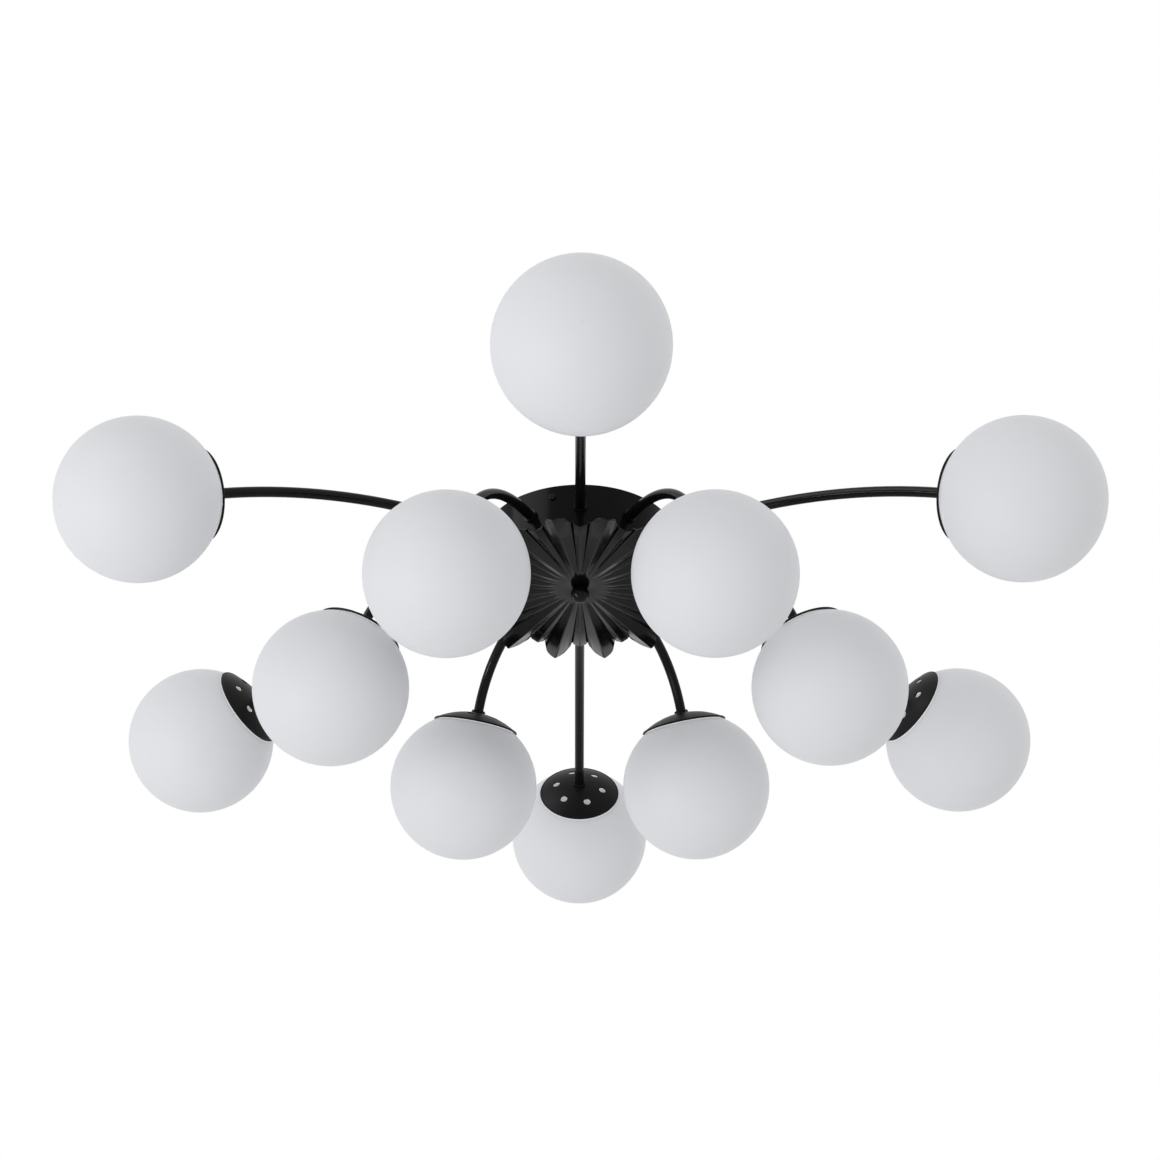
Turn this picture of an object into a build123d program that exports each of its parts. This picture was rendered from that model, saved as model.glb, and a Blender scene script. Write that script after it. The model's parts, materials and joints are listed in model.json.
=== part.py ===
"""Twelve-light bubble chandelier: a ceiling canopy, a fluted shell, two rings of bent arms and opal globes.

The origin is the middle of the canopy's rim, on the ceiling, and +Z points up into the ceiling.
An azimuth of 0 points along -Y, and a positive one turns towards +X.
"""
import os
from math import cos, radians, sin, sqrt

from build123d import *

# Driving dimensions, in millimetres and degrees

# Arms
LAMPS_PER_RING = 6
ARM_DIAMETER = 10.0
ARM_BORE = 8.0
ARM_INSIDE = 16.0  # length of each arm inside the canopy
ARM_COLLAR_DIAMETER = 13.0
ARM_COLLAR_LENGTH = 3.5
ARM_END_STRAIGHT = 10.0  # straight tube above the globe's top before the bend starts
ARM_THREAD_DEPTH = 13.0  # how far each arm runs in below the top of its globe

OUTER_AZIMUTH = 0.0
OUTER_ROOT_DROP = 26.0  # from the ceiling to the middle of the arm at the canopy wall
OUTER_STRAIGHT = 46.4  # straight tube outside the canopy before the bend starts
OUTER_BEND_RADIUS = 624.0
OUTER_TILT = 22.5  # how far the arm has turned down at its lamp

INNER_AZIMUTH = 30.0
INNER_ROOT_DROP = 28.5
INNER_STRAIGHT = 18.7
INNER_BEND_RADIUS = 102.0
INNER_TILT = 68.0

LOCK_NUT_ACROSS_FLATS = 14.0
LOCK_NUT_HEIGHT = 5.0

# Canopy, crossbar and their screws
CANOPY_DIAMETER = 188.0
CANOPY_HEIGHT = 53.0
CANOPY_WALL = 1.5
CANOPY_CORNER = 3.0  # radius of the turn from the wall to the floor

CROSSBAR_AZIMUTH = -16.3
CROSSBAR_WIDTH = 22.0
CROSSBAR_THICKNESS = 2.0
CROSSBAR_TAB_HEIGHT = 20.0
CROSSBAR_HOLE_SPACING = 88.9
CROSSBAR_HOLE_DIAMETER = 5.0
CROSSBAR_WIRE_HOLE = 12.0

SIDE_SCREW_DIAMETER = 4.0
SIDE_SCREW_DROP = 12.5
SIDE_SCREW_LENGTH = 9.0
SIDE_SCREW_HEAD_DIAMETER = 7.0
SIDE_SCREW_HEAD_HEIGHT = 2.4

# Terminal block on the canopy floor
TERMINAL_LENGTH = 44.0
TERMINAL_WIDTH = 20.0
TERMINAL_HEIGHT = 14.0
TERMINAL_OFFSET = 42.0  # from the middle of the canopy
TERMINAL_WAYS = 3
TERMINAL_WAY_HOLE = 5.0

# Fluted shell, its bolt, spacer and finial
SHELL_THICKNESS = 1.2
SHELL_FLUTES = 32  # long and short petals take turns
SHELL_LONG_RADIUS = 131.0
SHELL_SHORT_RADIUS = 112.0
SHELL_SHORT_ANGLE = 8.0  # from groove to groove across a short petal
SHELL_PETAL_TIP_DEPTH = 7.0  # the rounded end of a long petal
SHELL_PETAL_TIP_WIDTH = 20.0
SHELL_LONG_DROP = 3.6  # of a long petal's middle fold below the flat, at the short petals' edge
SHELL_SHORT_DROP = 0.8
SHELL_GROOVE_RISE = 2.6  # of the grooves between petals above the flat, at the same edge
SHELL_FLAT_DIAMETER = 52.0
SHELL_FLAT_THICKNESS = 3.0

SPACER_DIAMETER = 18.0
SPACER_HEIGHT = 3.6

BOLT_DIAMETER = 6.0
BOLT_HEAD_ACROSS_FLATS = 10.0
BOLT_HEAD_HEIGHT = 4.0
BOLT_ENGAGEMENT = 9.0  # in the finial

FINIAL_DIAMETER = 18.0
FINIAL_SEAT_DIAMETER = 12.0  # the flat on top of the ball

# Globes and their lugs
GLOBE_DIAMETER = 150.0
GLASS_WALL = 2.0
NECK_BORE = 44.0
NECK_DEPTH = 10.0
LUG_COUNT = 3
LUG_ANGLE = 36.0
LUG_REACH = 2.8
LUG_HEIGHT = 3.0

# Caps over the globes
CAP_WALL = 1.2
CAP_DIAMETER = 87.0
CAP_VENTS = 6
CAP_VENT_DIAMETER = 7.5
CAP_VENT_CIRCLE = 52.0
CAP_VENT_PHASE = -11.0
CAP_NUT_WALL = 1.2  # of the nut on top, at its flats
CAP_NUT_HEIGHT = 3.0

# Galleries and lampholders
GALLERY_WALL = 1.4
GALLERY_HUB_DIAMETER = 16.0
STOP_ANGLE = 4.0
STOP_PLAY = 1.0  # left between a lug and its stop when the globe is locked
HOLDER_DIAMETER = 28.0
HOLDER_LENGTH = 33.0
SOCKET_DEPTH = 20.0

# Bulbs with a screw base
BULB_DIAMETER = 37.0
BULB_LENGTH = 75.0
BULB_BASE_DIAMETER = 13.8
BULB_TIP_DIAMETER = 5.0
BULB_TIP_HEIGHT = 1.2
BULB_COLLAR_DIAMETER = 26.0
BULB_COLLAR_GAP = 2.0  # bare base between the lampholder and the collar
BULB_COLLAR_RISE = 2.5

# Clearances
FIT = 0.05  # screwed and running fits, on the radius
MOVE_GAP = 0.3  # between pieces that turn past each other
LUG_GAP = 0.4  # round the lugs, on the radius
CAP_GAP = 0.8  # between a cap and its globe
HOLE_GAP = 0.15  # round a tube or screw in a plain hole, on the radius

# Sizes that follow from the driving dimensions
canopy_radius = CANOPY_DIAMETER / 2
canopy_bore = canopy_radius - CANOPY_WALL
floor_top = CANOPY_WALL - CANOPY_HEIGHT
globe_radius = GLOBE_DIAMETER / 2
glass_radius = globe_radius - GLASS_WALL
cap_inside = globe_radius + CAP_GAP
cap_outside = cap_inside + CAP_WALL
arm_hole_radius = ARM_DIAMETER / 2 + HOLE_GAP
lock_nut_corner = LOCK_NUT_ACROSS_FLATS / sqrt(3)
neck_radius = NECK_BORE / 2
lug_radius = neck_radius - LUG_REACH
neck_top = sqrt(globe_radius**2 - neck_radius**2)
lug_bottom = neck_top - NECK_DEPTH
gallery_radius = lug_radius - LUG_GAP
gallery_top = sqrt(cap_inside**2 - gallery_radius**2) - MOVE_GAP
holder_top = gallery_top - GALLERY_WALL
holder_bottom = holder_top - HOLDER_LENGTH
socket_top = holder_bottom + SOCKET_DEPTH
shell_level = -CANOPY_HEIGHT - SPACER_HEIGHT - SHELL_FLAT_THICKNESS / 2
shell_seat = shell_level - SHELL_FLAT_THICKNESS / 2


def radial(azimuth):
    """Turns a piece that is built along +X so that it points along an azimuth."""
    return Rot(0, 0, azimuth - 90)


def ring_of(radius_out, radius_in, bottom, top):
    """An upright ring between two heights."""
    tube = Cylinder(radius_out, top - bottom) - Cylinder(radius_in, top - bottom)
    return Pos(0, 0, (bottom + top) / 2) * tube


def ring_sector(radius_out, radius_in, bottom, top, start, angle):
    """Part of an upright ring, from a start angle round by another angle."""
    profile = Plane.XZ * Polygon(
        (radius_in, bottom), (radius_out, bottom), (radius_out, top), (radius_in, top), align=None
    )
    return revolve(Rot(0, 0, start) * profile, Axis.Z, angle)


def turned(*edges):
    """A solid turned about Z from a closed outline in the XZ plane."""
    return revolve(make_face(edges), Axis.Z)


def outline(*points):
    """Straight edges through points given as radius and height."""
    corners = [(radius, 0, height) for radius, height in points]
    return Polyline(*corners).edges()


def sphere_arc(radius, start_radius, end_radius, start_side, end_side, level=0.0):
    """An arc of a sphere about Z, between two radii that lie above (1) or below (-1) its middle."""
    start = start_side * sqrt(radius**2 - start_radius**2)
    end = end_side * sqrt(radius**2 - end_radius**2)
    if start_side == end_side:
        middle_radius = (start_radius + end_radius) / 2
        middle = start_side * sqrt(radius**2 - middle_radius**2)
    else:
        middle_radius = radius
        middle = 0.0
    return ThreePointArc(
        (start_radius, 0, level + start), (middle_radius, 0, level + middle), (end_radius, 0, level + end)
    )


def hexagon_nut(across_flats, height, bore_radius):
    """A nut that stands on Z = 0."""
    blank = RegularPolygon(across_flats / 2, 6, major_radius=False)
    return extrude(blank - Circle(bore_radius), height)


# Canopy and what holds it to the ceiling


def wall_drill(radius, drop, length):
    """A drill through the canopy wall along +X."""
    return Pos(canopy_radius, 0, -drop) * Rot(0, 90, 0) * Cylinder(radius, length)


def rounded_cup(radius, bottom):
    """A solid round plug from the ceiling down, with a rounded lower edge."""
    plug = Pos(0, 0, bottom) * extrude(Circle(radius), -bottom)
    return fillet(plug.edges().filter_by(GeomType.CIRCLE).sort_by(Axis.Z)[0], CANOPY_CORNER)


def make_canopy():
    """The drawn cup, with the holes for the arms, the side screws and the centre bolt."""
    cup = rounded_cup(canopy_radius, -CANOPY_HEIGHT) - rounded_cup(canopy_bore, floor_top)
    for first, drop in ((OUTER_AZIMUTH, OUTER_ROOT_DROP), (INNER_AZIMUTH, INNER_ROOT_DROP)):
        arm_drill = wall_drill(arm_hole_radius, drop, 2 * ARM_INSIDE)
        for azimuth in ring_azimuths(first):
            cup -= radial(azimuth) * arm_drill
    screw_drill = wall_drill(SIDE_SCREW_DIAMETER / 2 + HOLE_GAP, SIDE_SCREW_DROP, 2 * SIDE_SCREW_LENGTH)
    for azimuth in (CROSSBAR_AZIMUTH, CROSSBAR_AZIMUTH + 180):
        cup -= radial(azimuth) * screw_drill
    return cup - Pos(0, 0, floor_top) * Cylinder(BOLT_DIAMETER / 2 + HOLE_GAP, 4 * CANOPY_WALL)


def crossbar_tab_face():
    """Radius of the outer faces of the crossbar's end tabs, whose corners clear the canopy wall."""
    return sqrt(canopy_bore**2 - (CROSSBAR_WIDTH / 2) ** 2) - MOVE_GAP


def make_crossbar():
    """A flat strip under the ceiling with two fixing holes, a wire hole and two turned-down end tabs."""
    half = crossbar_tab_face()
    strip = Pos(0, 0, -CROSSBAR_THICKNESS / 2) * Box(2 * half, CROSSBAR_WIDTH, CROSSBAR_THICKNESS)
    tab = Pos(half - CROSSBAR_THICKNESS / 2, 0, -CROSSBAR_TAB_HEIGHT / 2) * Box(
        CROSSBAR_THICKNESS, CROSSBAR_WIDTH, CROSSBAR_TAB_HEIGHT
    )
    bar = strip + tab + Rot(0, 0, 180) * tab
    for side in (-1, 1):
        fixing = Pos(side * CROSSBAR_HOLE_SPACING / 2, 0, 0)
        bar -= fixing * Cylinder(CROSSBAR_HOLE_DIAMETER / 2, 4 * CROSSBAR_THICKNESS)
    bar -= Cylinder(CROSSBAR_WIRE_HOLE / 2, 4 * CROSSBAR_THICKNESS)
    thread = SIDE_SCREW_DIAMETER / 2 + FIT
    bar -= Pos(0, 0, -SIDE_SCREW_DROP) * Rot(0, 90, 0) * Cylinder(thread, 4 * canopy_radius)
    return radial(CROSSBAR_AZIMUTH) * bar


def make_side_screws():
    """The two screws through the canopy wall into the crossbar's tabs."""
    shank = Rot(0, -90, 0) * extrude(Circle(SIDE_SCREW_DIAMETER / 2), SIDE_SCREW_LENGTH)
    head = Rot(0, 90, 0) * extrude(Circle(SIDE_SCREW_HEAD_DIAMETER / 2), SIDE_SCREW_HEAD_HEIGHT)
    crown = head.edges().filter_by(GeomType.CIRCLE).sort_by(Axis.X)[-1]
    screw = shank + fillet(crown, SIDE_SCREW_HEAD_HEIGHT / 2)
    screw = Pos(canopy_radius, 0, -SIDE_SCREW_DROP) * screw
    return [radial(azimuth) * screw for azimuth in (CROSSBAR_AZIMUTH, CROSSBAR_AZIMUTH + 180)]


def make_terminal_block():
    """A three-way block on the canopy floor, with a wire hole through each way."""
    block = Box(TERMINAL_LENGTH, TERMINAL_WIDTH, TERMINAL_HEIGHT)
    pitch = TERMINAL_LENGTH / TERMINAL_WAYS
    drill = Rot(90, 0, 0) * Cylinder(TERMINAL_WAY_HOLE / 2, 2 * TERMINAL_WIDTH)
    for way in range(TERMINAL_WAYS):
        block -= Pos((way - (TERMINAL_WAYS - 1) / 2) * pitch, 0, 0) * drill
    return Pos(0, TERMINAL_OFFSET, floor_top + TERMINAL_HEIGHT / 2) * block


# Fluted shell and its fastening


def petal_outline():
    """The shell's scalloped edge seen from above: short petals on the circle, long ones past it."""
    pitch = 360 / SHELL_FLUTES
    short_half = radians(SHELL_SHORT_ANGLE / 2)
    long_half = radians(pitch - SHELL_SHORT_ANGLE / 2)
    short_root = SHELL_SHORT_RADIUS * Vector(cos(short_half), sin(short_half))
    root = SHELL_SHORT_RADIUS * Vector(cos(long_half), sin(long_half))
    shoulder = Vector(SHELL_LONG_RADIUS - SHELL_PETAL_TIP_DEPTH, SHELL_PETAL_TIP_WIDTH / 2)
    long_petal = [
        Line((root.X, -root.Y), (shoulder.X, -shoulder.Y)),
        ThreePointArc((shoulder.X, -shoulder.Y), (SHELL_LONG_RADIUS, 0), (shoulder.X, shoulder.Y)),
        Line((shoulder.X, shoulder.Y), (root.X, root.Y)),
    ]
    ends = (short_root.X, -short_root.Y), (short_root.X, short_root.Y)
    short_petal = [ThreePointArc(ends[0], (SHELL_SHORT_RADIUS, 0), ends[1])]
    edges = []
    for petal in range(SHELL_FLUTES):
        pieces = long_petal if petal % 2 else short_petal
        edges += [Rot(0, 0, pitch * petal) * piece for piece in pieces]
    return make_face(edges)


def make_shell():
    """The pleated disc: straight folds from the middle, trimmed by the scalloped edge."""
    pitch = 360 / SHELL_FLUTES
    reach = 1.1 * SHELL_LONG_RADIUS
    grow = reach / SHELL_SHORT_RADIUS
    folds = [
        (-SHELL_SHORT_ANGLE / 2, SHELL_GROOVE_RISE),
        (0, -SHELL_SHORT_DROP),
        (SHELL_SHORT_ANGLE / 2, SHELL_GROOVE_RISE),
        (pitch, -SHELL_LONG_DROP),
    ]
    under = []
    for pair in range(SHELL_FLUTES // 2):
        for angle, height in folds:
            turn = radians(2 * pitch * pair + angle)
            under.append(Vector(reach * cos(turn), reach * sin(turn), grow * height))
    lift = Vector(0, 0, SHELL_THICKNESS / 2)
    faces = []
    for start, end in zip(under, under[1:] + under[:1]):
        faces.append(Face(Wire.make_polygon([-lift, end - lift, start - lift])))
        faces.append(Face(Wire.make_polygon([lift, start + lift, end + lift])))
        faces.append(Face(Wire.make_polygon([start - lift, end - lift, end + lift, start + lift])))
    pleats = Solid(Shell(faces))
    pleats = pleats & extrude(petal_outline(), 4 * grow * (SHELL_LONG_DROP + SHELL_GROOVE_RISE), both=True)
    disc = pleats + Cylinder(SHELL_FLAT_DIAMETER / 2, SHELL_FLAT_THICKNESS)
    disc -= Cylinder(BOLT_DIAMETER / 2 + HOLE_GAP, 4 * SHELL_FLAT_THICKNESS)
    return Pos(0, 0, shell_level) * disc


def make_spacer():
    """The sleeve between the canopy floor and the shell."""
    bore = BOLT_DIAMETER / 2 + HOLE_GAP
    return ring_of(SPACER_DIAMETER / 2, bore, -CANOPY_HEIGHT - SPACER_HEIGHT, -CANOPY_HEIGHT)


def bolt_end():
    """Height of the lower end of the centre bolt."""
    return shell_seat - BOLT_ENGAGEMENT


def make_centre_bolt():
    """The bolt whose head lies on the canopy floor and whose thread takes the finial."""
    shank = Pos(0, 0, bolt_end()) * extrude(Circle(BOLT_DIAMETER / 2), floor_top - bolt_end())
    blank = extrude(RegularPolygon(BOLT_HEAD_ACROSS_FLATS / 2, 6, major_radius=False), BOLT_HEAD_HEIGHT)
    return shank + Pos(0, 0, floor_top) * blank


def make_finial():
    """The ball nut, with a flat seat on top."""
    radius = FINIAL_DIAMETER / 2
    middle = shell_seat - FIT - sqrt(radius**2 - (FINIAL_SEAT_DIAMETER / 2) ** 2)
    seat = shell_seat - FIT
    ball = Pos(0, 0, middle) * Sphere(radius)
    ball -= Pos(0, 0, seat + radius) * Box(4 * radius, 4 * radius, 2 * radius)
    depth = BOLT_ENGAGEMENT + MOVE_GAP
    return ball - Pos(0, 0, seat - depth / 2) * Cylinder(BOLT_DIAMETER / 2 + FIT, depth)


# Arms


def ring_azimuths(first):
    """The azimuths of one ring of lamps."""
    return [first + 360 / LAMPS_PER_RING * place for place in range(LAMPS_PER_RING)]


def make_arm(drop, straight, bend_radius, tilt):
    """One bent tube with its collar, along +X."""
    turn = radians(tilt)
    level = -drop
    bend = Vector(canopy_radius + straight, 0, level)
    half_turn = bend + bend_radius * Vector(sin(turn / 2), 0, cos(turn / 2) - 1)
    bend_end = bend + bend_radius * Vector(sin(turn), 0, cos(turn) - 1)
    end = bend_end + (ARM_END_STRAIGHT + ARM_THREAD_DEPTH) * Vector(cos(turn), 0, -sin(turn))
    start = Vector(canopy_radius - ARM_INSIDE, 0, level)
    path = Line(start, bend) + ThreePointArc(bend, half_turn, bend_end) + Line(bend_end, end)
    section = Plane(origin=start, z_dir=(1, 0, 0)) * (Circle(ARM_DIAMETER / 2) - Circle(ARM_BORE / 2))
    tube = sweep(section, path)
    mid_wall = (ARM_DIAMETER + ARM_BORE) / 4
    collar = extrude(Circle(ARM_COLLAR_DIAMETER / 2) - Circle(mid_wall), ARM_COLLAR_LENGTH)
    return tube + Plane(origin=(canopy_radius, 0, level), z_dir=(1, 0, 0)) * collar


def lamp_location(drop, straight, bend_radius, tilt):
    """Place of a lamp on an arm along +X: the middle of its globe, with +Z up the arm's end."""
    turn = radians(tilt)
    tail = ARM_END_STRAIGHT + globe_radius
    out = canopy_radius + straight + bend_radius * sin(turn) + tail * cos(turn)
    down = drop + bend_radius * (1 - cos(turn)) + tail * sin(turn)
    return Plane(origin=(out, 0, -down), x_dir=(0, 1, 0), z_dir=(-cos(turn), 0, sin(turn))).location


def make_lock_nut(drop):
    """A nut on an arm along +X, against the inside of the canopy wall."""
    nut = hexagon_nut(LOCK_NUT_ACROSS_FLATS, LOCK_NUT_HEIGHT, ARM_DIAMETER / 2 + FIT)
    seat = sqrt(canopy_bore**2 - lock_nut_corner**2) - FIT
    return Plane(origin=(seat, 0, -drop), z_dir=(-1, 0, 0)) * nut


# Lamp pieces, built round the middle of the globe with +Z towards the arm


def make_globe():
    """The opal glass ball, with a short neck turned inwards and three lugs inside it."""
    outer_neck = neck_radius + GLASS_WALL
    inner_top = sqrt(glass_radius**2 - outer_neck**2)
    glass = turned(
        sphere_arc(globe_radius, 0, neck_radius, -1, 1),
        *outline((neck_radius, neck_top), (neck_radius, lug_bottom), (outer_neck, lug_bottom)),
        *outline((outer_neck, lug_bottom), (outer_neck, inner_top)),
        sphere_arc(glass_radius, outer_neck, 0, 1, -1),
        *outline((0, -glass_radius), (0, -globe_radius)),
    )
    root = neck_radius + GLASS_WALL / 2
    for lug in range(LUG_COUNT):
        start = 360 / LUG_COUNT * lug - LUG_ANGLE / 2
        glass += ring_sector(root, lug_radius, lug_bottom, lug_bottom + LUG_HEIGHT, start, LUG_ANGLE)
    return glass


def make_cap():
    """The dome cap over the globe, with its vents."""
    rim = CAP_DIAMETER / 2
    rim_height = sqrt(cap_outside**2 - rim**2)
    inner_rim = rim * cap_inside / cap_outside
    inner_rim_height = rim_height * cap_inside / cap_outside
    hole_top = sqrt(cap_outside**2 - arm_hole_radius**2)
    hole_bottom = sqrt(cap_inside**2 - arm_hole_radius**2)
    dome = turned(
        sphere_arc(cap_outside, arm_hole_radius, rim, 1, 1),
        *outline((rim, rim_height), (inner_rim, inner_rim_height)),
        sphere_arc(cap_inside, inner_rim, arm_hole_radius, 1, 1),
        *outline((arm_hole_radius, hole_bottom), (arm_hole_radius, hole_top)),
    )
    vent_radius = CAP_VENT_CIRCLE / 2
    vent_height = sqrt(cap_outside**2 - vent_radius**2)
    vent = (vent_radius, 0, vent_height)
    drill = Plane(origin=vent, z_dir=vent).location * Cylinder(CAP_VENT_DIAMETER / 2, 8 * CAP_WALL)
    for place in range(CAP_VENTS):
        dome -= Rot(0, 0, CAP_VENT_PHASE + 360 / CAP_VENTS * place) * drill
    return dome


def make_cap_nut():
    """The nut on top of the cap."""
    seat = sqrt(cap_outside**2 - arm_hole_radius**2) + FIT
    nut = hexagon_nut(ARM_DIAMETER + 2 * CAP_NUT_WALL, CAP_NUT_HEIGHT, ARM_DIAMETER / 2 + FIT)
    return Pos(0, 0, seat) * nut


def make_gallery():
    """The cup under the cap: a hub, a skirt, and three lugs with stops under the globe's lugs."""
    lug_top = lug_bottom - MOVE_GAP
    base = lug_top - LUG_HEIGHT
    bore = ARM_DIAMETER / 2 + FIT
    hub_radius = GALLERY_HUB_DIAMETER / 2
    hub_top = sqrt(cap_inside**2 - hub_radius**2) - FIT
    cup = ring_of(gallery_radius, gallery_radius - GALLERY_WALL, base, gallery_top)
    cup += ring_of(gallery_radius, bore, holder_top, gallery_top)
    cup += ring_of(hub_radius, bore, holder_top, hub_top)
    reach = neck_radius - LUG_GAP
    root = gallery_radius - GALLERY_WALL / 2
    for lug in range(LUG_COUNT):
        middle = 360 / LUG_COUNT * lug
        stop_start = middle + LUG_ANGLE / 2 + STOP_PLAY
        cup += ring_sector(reach, root, base, lug_top, middle - LUG_ANGLE / 2, LUG_ANGLE + STOP_PLAY)
        cup += ring_sector(reach, root, base, lug_top + LUG_HEIGHT, stop_start, STOP_ANGLE)
    return cup


def make_lampholder():
    """The lampholder on the arm's end, with the socket for the bulb's base."""
    arm_bore = ARM_DIAMETER / 2 + FIT
    arm_end = globe_radius - ARM_THREAD_DEPTH - MOVE_GAP
    body = ring_of(HOLDER_DIAMETER / 2, arm_bore, arm_end, holder_top)
    body += Pos(0, 0, (socket_top + arm_end) / 2) * Cylinder(HOLDER_DIAMETER / 2, arm_end - socket_top)
    socket = BULB_BASE_DIAMETER / 2 + MOVE_GAP
    return body + ring_of(HOLDER_DIAMETER / 2, socket, holder_bottom, socket_top)


def make_bulb():
    """The bulb: contact tip, screw base, collar and round envelope."""
    tip_top = socket_top - MOVE_GAP
    base_top = tip_top - BULB_TIP_HEIGHT
    base = BULB_BASE_DIAMETER / 2
    tip = BULB_TIP_DIAMETER / 2
    collar = BULB_COLLAR_DIAMETER / 2
    collar_top = holder_bottom - BULB_COLLAR_GAP
    envelope = BULB_DIAMETER / 2
    middle = tip_top - BULB_LENGTH + envelope
    envelope_top = middle + sqrt(envelope**2 - collar**2)
    return turned(
        *outline((0, middle - envelope), (0, tip_top), (tip, tip_top), (tip, base_top), (base, base_top)),
        *outline((base, base_top), (base, collar_top), (collar, collar_top - BULB_COLLAR_RISE)),
        *outline((collar, collar_top - BULB_COLLAR_RISE), (collar, envelope_top)),
        sphere_arc(envelope, collar, 0, 1, -1, middle),
    )


# Writing the nodes


def write(name, *solids):
    """Writes one node, as one solid or as a group of separate solids."""
    shape = solids[0] if len(solids) == 1 else Compound(list(solids))
    shape.label = name
    export_step(shape, f"parts/{name}.step")


def main():
    os.makedirs("parts", exist_ok=True)
    write("canopy", make_canopy())
    write("crossbar", make_crossbar())
    write("canopy_screws", *make_side_screws())
    write("terminal_block", make_terminal_block())
    write("fluted_shell", make_shell())
    write("shell_spacer", make_spacer())
    write("centre_bolt", make_centre_bolt())
    write("finial", make_finial())

    rings = {
        "outer": (OUTER_AZIMUTH, OUTER_ROOT_DROP, OUTER_STRAIGHT, OUTER_BEND_RADIUS, OUTER_TILT),
        "inner": (INNER_AZIMUTH, INNER_ROOT_DROP, INNER_STRAIGHT, INNER_BEND_RADIUS, INNER_TILT),
    }
    lamp_pieces = {"globe": make_globe(), "cap": make_cap(), "bulb": make_bulb()}
    shared_pieces = {
        "cap_nuts": make_cap_nut(),
        "galleries": make_gallery(),
        "lampholders": make_lampholder(),
    }
    groups = {name: [] for name in shared_pieces}
    lock_nuts = []
    for ring, (first, drop, straight, bend_radius, tilt) in rings.items():
        arm = make_arm(drop, straight, bend_radius, tilt)
        lamp = lamp_location(drop, straight, bend_radius, tilt)
        lock_nut = make_lock_nut(drop)
        for number, azimuth in enumerate(ring_azimuths(first), 1):
            turn = radial(azimuth)
            write(f"{ring}_arm_{number}", turn * arm)
            for piece, solid in lamp_pieces.items():
                write(f"{ring}_{piece}_{number}", turn * lamp * solid)
            for group, solid in shared_pieces.items():
                groups[group].append(turn * lamp * solid)
            lock_nuts.append(turn * lock_nut)
    write("arm_lock_nuts", *lock_nuts)
    for group, solids in groups.items():
        write(group, *solids)


main()
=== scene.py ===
"""Dresses the bubble chandelier: satin black metal, a glossy fluted shell and opal globes."""
import json
from math import atan2, cos, hypot, pi, radians, sin, sqrt, tan

import bpy
from mathutils import Matrix, Vector


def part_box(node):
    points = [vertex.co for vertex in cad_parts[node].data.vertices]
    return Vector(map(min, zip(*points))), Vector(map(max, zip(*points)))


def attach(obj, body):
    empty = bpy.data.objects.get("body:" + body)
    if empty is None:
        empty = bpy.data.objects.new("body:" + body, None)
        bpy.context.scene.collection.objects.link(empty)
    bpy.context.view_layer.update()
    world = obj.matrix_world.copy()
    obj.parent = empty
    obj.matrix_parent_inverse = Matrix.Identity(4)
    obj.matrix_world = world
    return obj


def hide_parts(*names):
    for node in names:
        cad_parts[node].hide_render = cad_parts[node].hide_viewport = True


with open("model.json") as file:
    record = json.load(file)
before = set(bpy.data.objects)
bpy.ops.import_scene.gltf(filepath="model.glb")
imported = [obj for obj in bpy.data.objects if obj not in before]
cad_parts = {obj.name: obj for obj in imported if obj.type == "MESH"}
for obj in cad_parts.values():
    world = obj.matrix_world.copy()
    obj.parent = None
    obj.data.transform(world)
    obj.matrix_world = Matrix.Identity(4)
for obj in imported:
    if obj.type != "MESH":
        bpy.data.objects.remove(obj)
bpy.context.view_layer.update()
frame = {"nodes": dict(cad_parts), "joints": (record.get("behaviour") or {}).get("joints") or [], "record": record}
nodes = frame["nodes"]
joints = {joint["name"]: joint for joint in frame["joints"]}

MM = 0.001
WELD = MM / 1000  # points closer than this become one
# Ring and number of each lamp
LAMPS = [(ring, number) for ring in ("outer", "inner") for number in range(1, 7)]

# Camera, as the photograph was taken
CAMERA_PLACE = (-0.0079, -2.1345, -1.3672)
CAMERA_PITCH = 31.68  # degrees above the horizon
CAMERA_YAW = -0.21
CAMERA_ROLL = -0.16
CAMERA_LENS = 79.17  # millimetres on a 36 mm sensor

# Studio
FLOOR_LEVEL = -3.8
FLOOR_SIZE = 60.0
AMBIENT = 0.73  # light from all round, next to a white of 1
LIGHT_AIM = (0.0, 0.0, -0.12)
KEY_LIGHT = ((-2.4, -1.7, -2.1), 2.0, 31.0)  # place, length of a side, and power
SPARK_LIGHT = ((-2.6, -1.3, -0.9), 0.3, 25.0)
SIDE_LIGHT = ((-2.3, -1.15, 1.5), 2.2, 45.0)
FLOOR_MOTTLE_SCALE = 1.3
FLOOR_FADE = (0.07, 0.13)  # where it turns white, as shares of its size
FLOOR_GLOW = 0.25  # near the object
FLOOR_FAR_GLOW = 0.65  # on top of that, far off

# Finishes. A scale counts patches to the metre.
SATIN_BLACK = (0.007, 0.40, 0.08, 0.02 * MM)  # level, roughness, specular and depth of the peel
ARM_BLACK = (0.006, 0.18, 0.12, 0.006 * MM)
# Painted shade: the canopy gets a darker, less glossy copy of the black paint, standing in for the dark
# surroundings it mirrors
CANOPY_SHADED_BLACK = (0.005, 0.16, 0.05, 0.006 * MM)
GLOSS_BLACK = (0.003, 0.15, 0.20, 0.008 * MM)
BALL_BLACK = (0.004, 0.06, 0.16, 0.002 * MM)
BULB_DIFFUSER = (0.82, 0.35)  # level and roughness
WHITE_PLASTIC = (0.78, 0.45)
PAINT_PATCH_SCALE = 14.0
PAINT_PEEL_SCALE = 900.0
PAINT_DUST_SCALE = 1900.0
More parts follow.
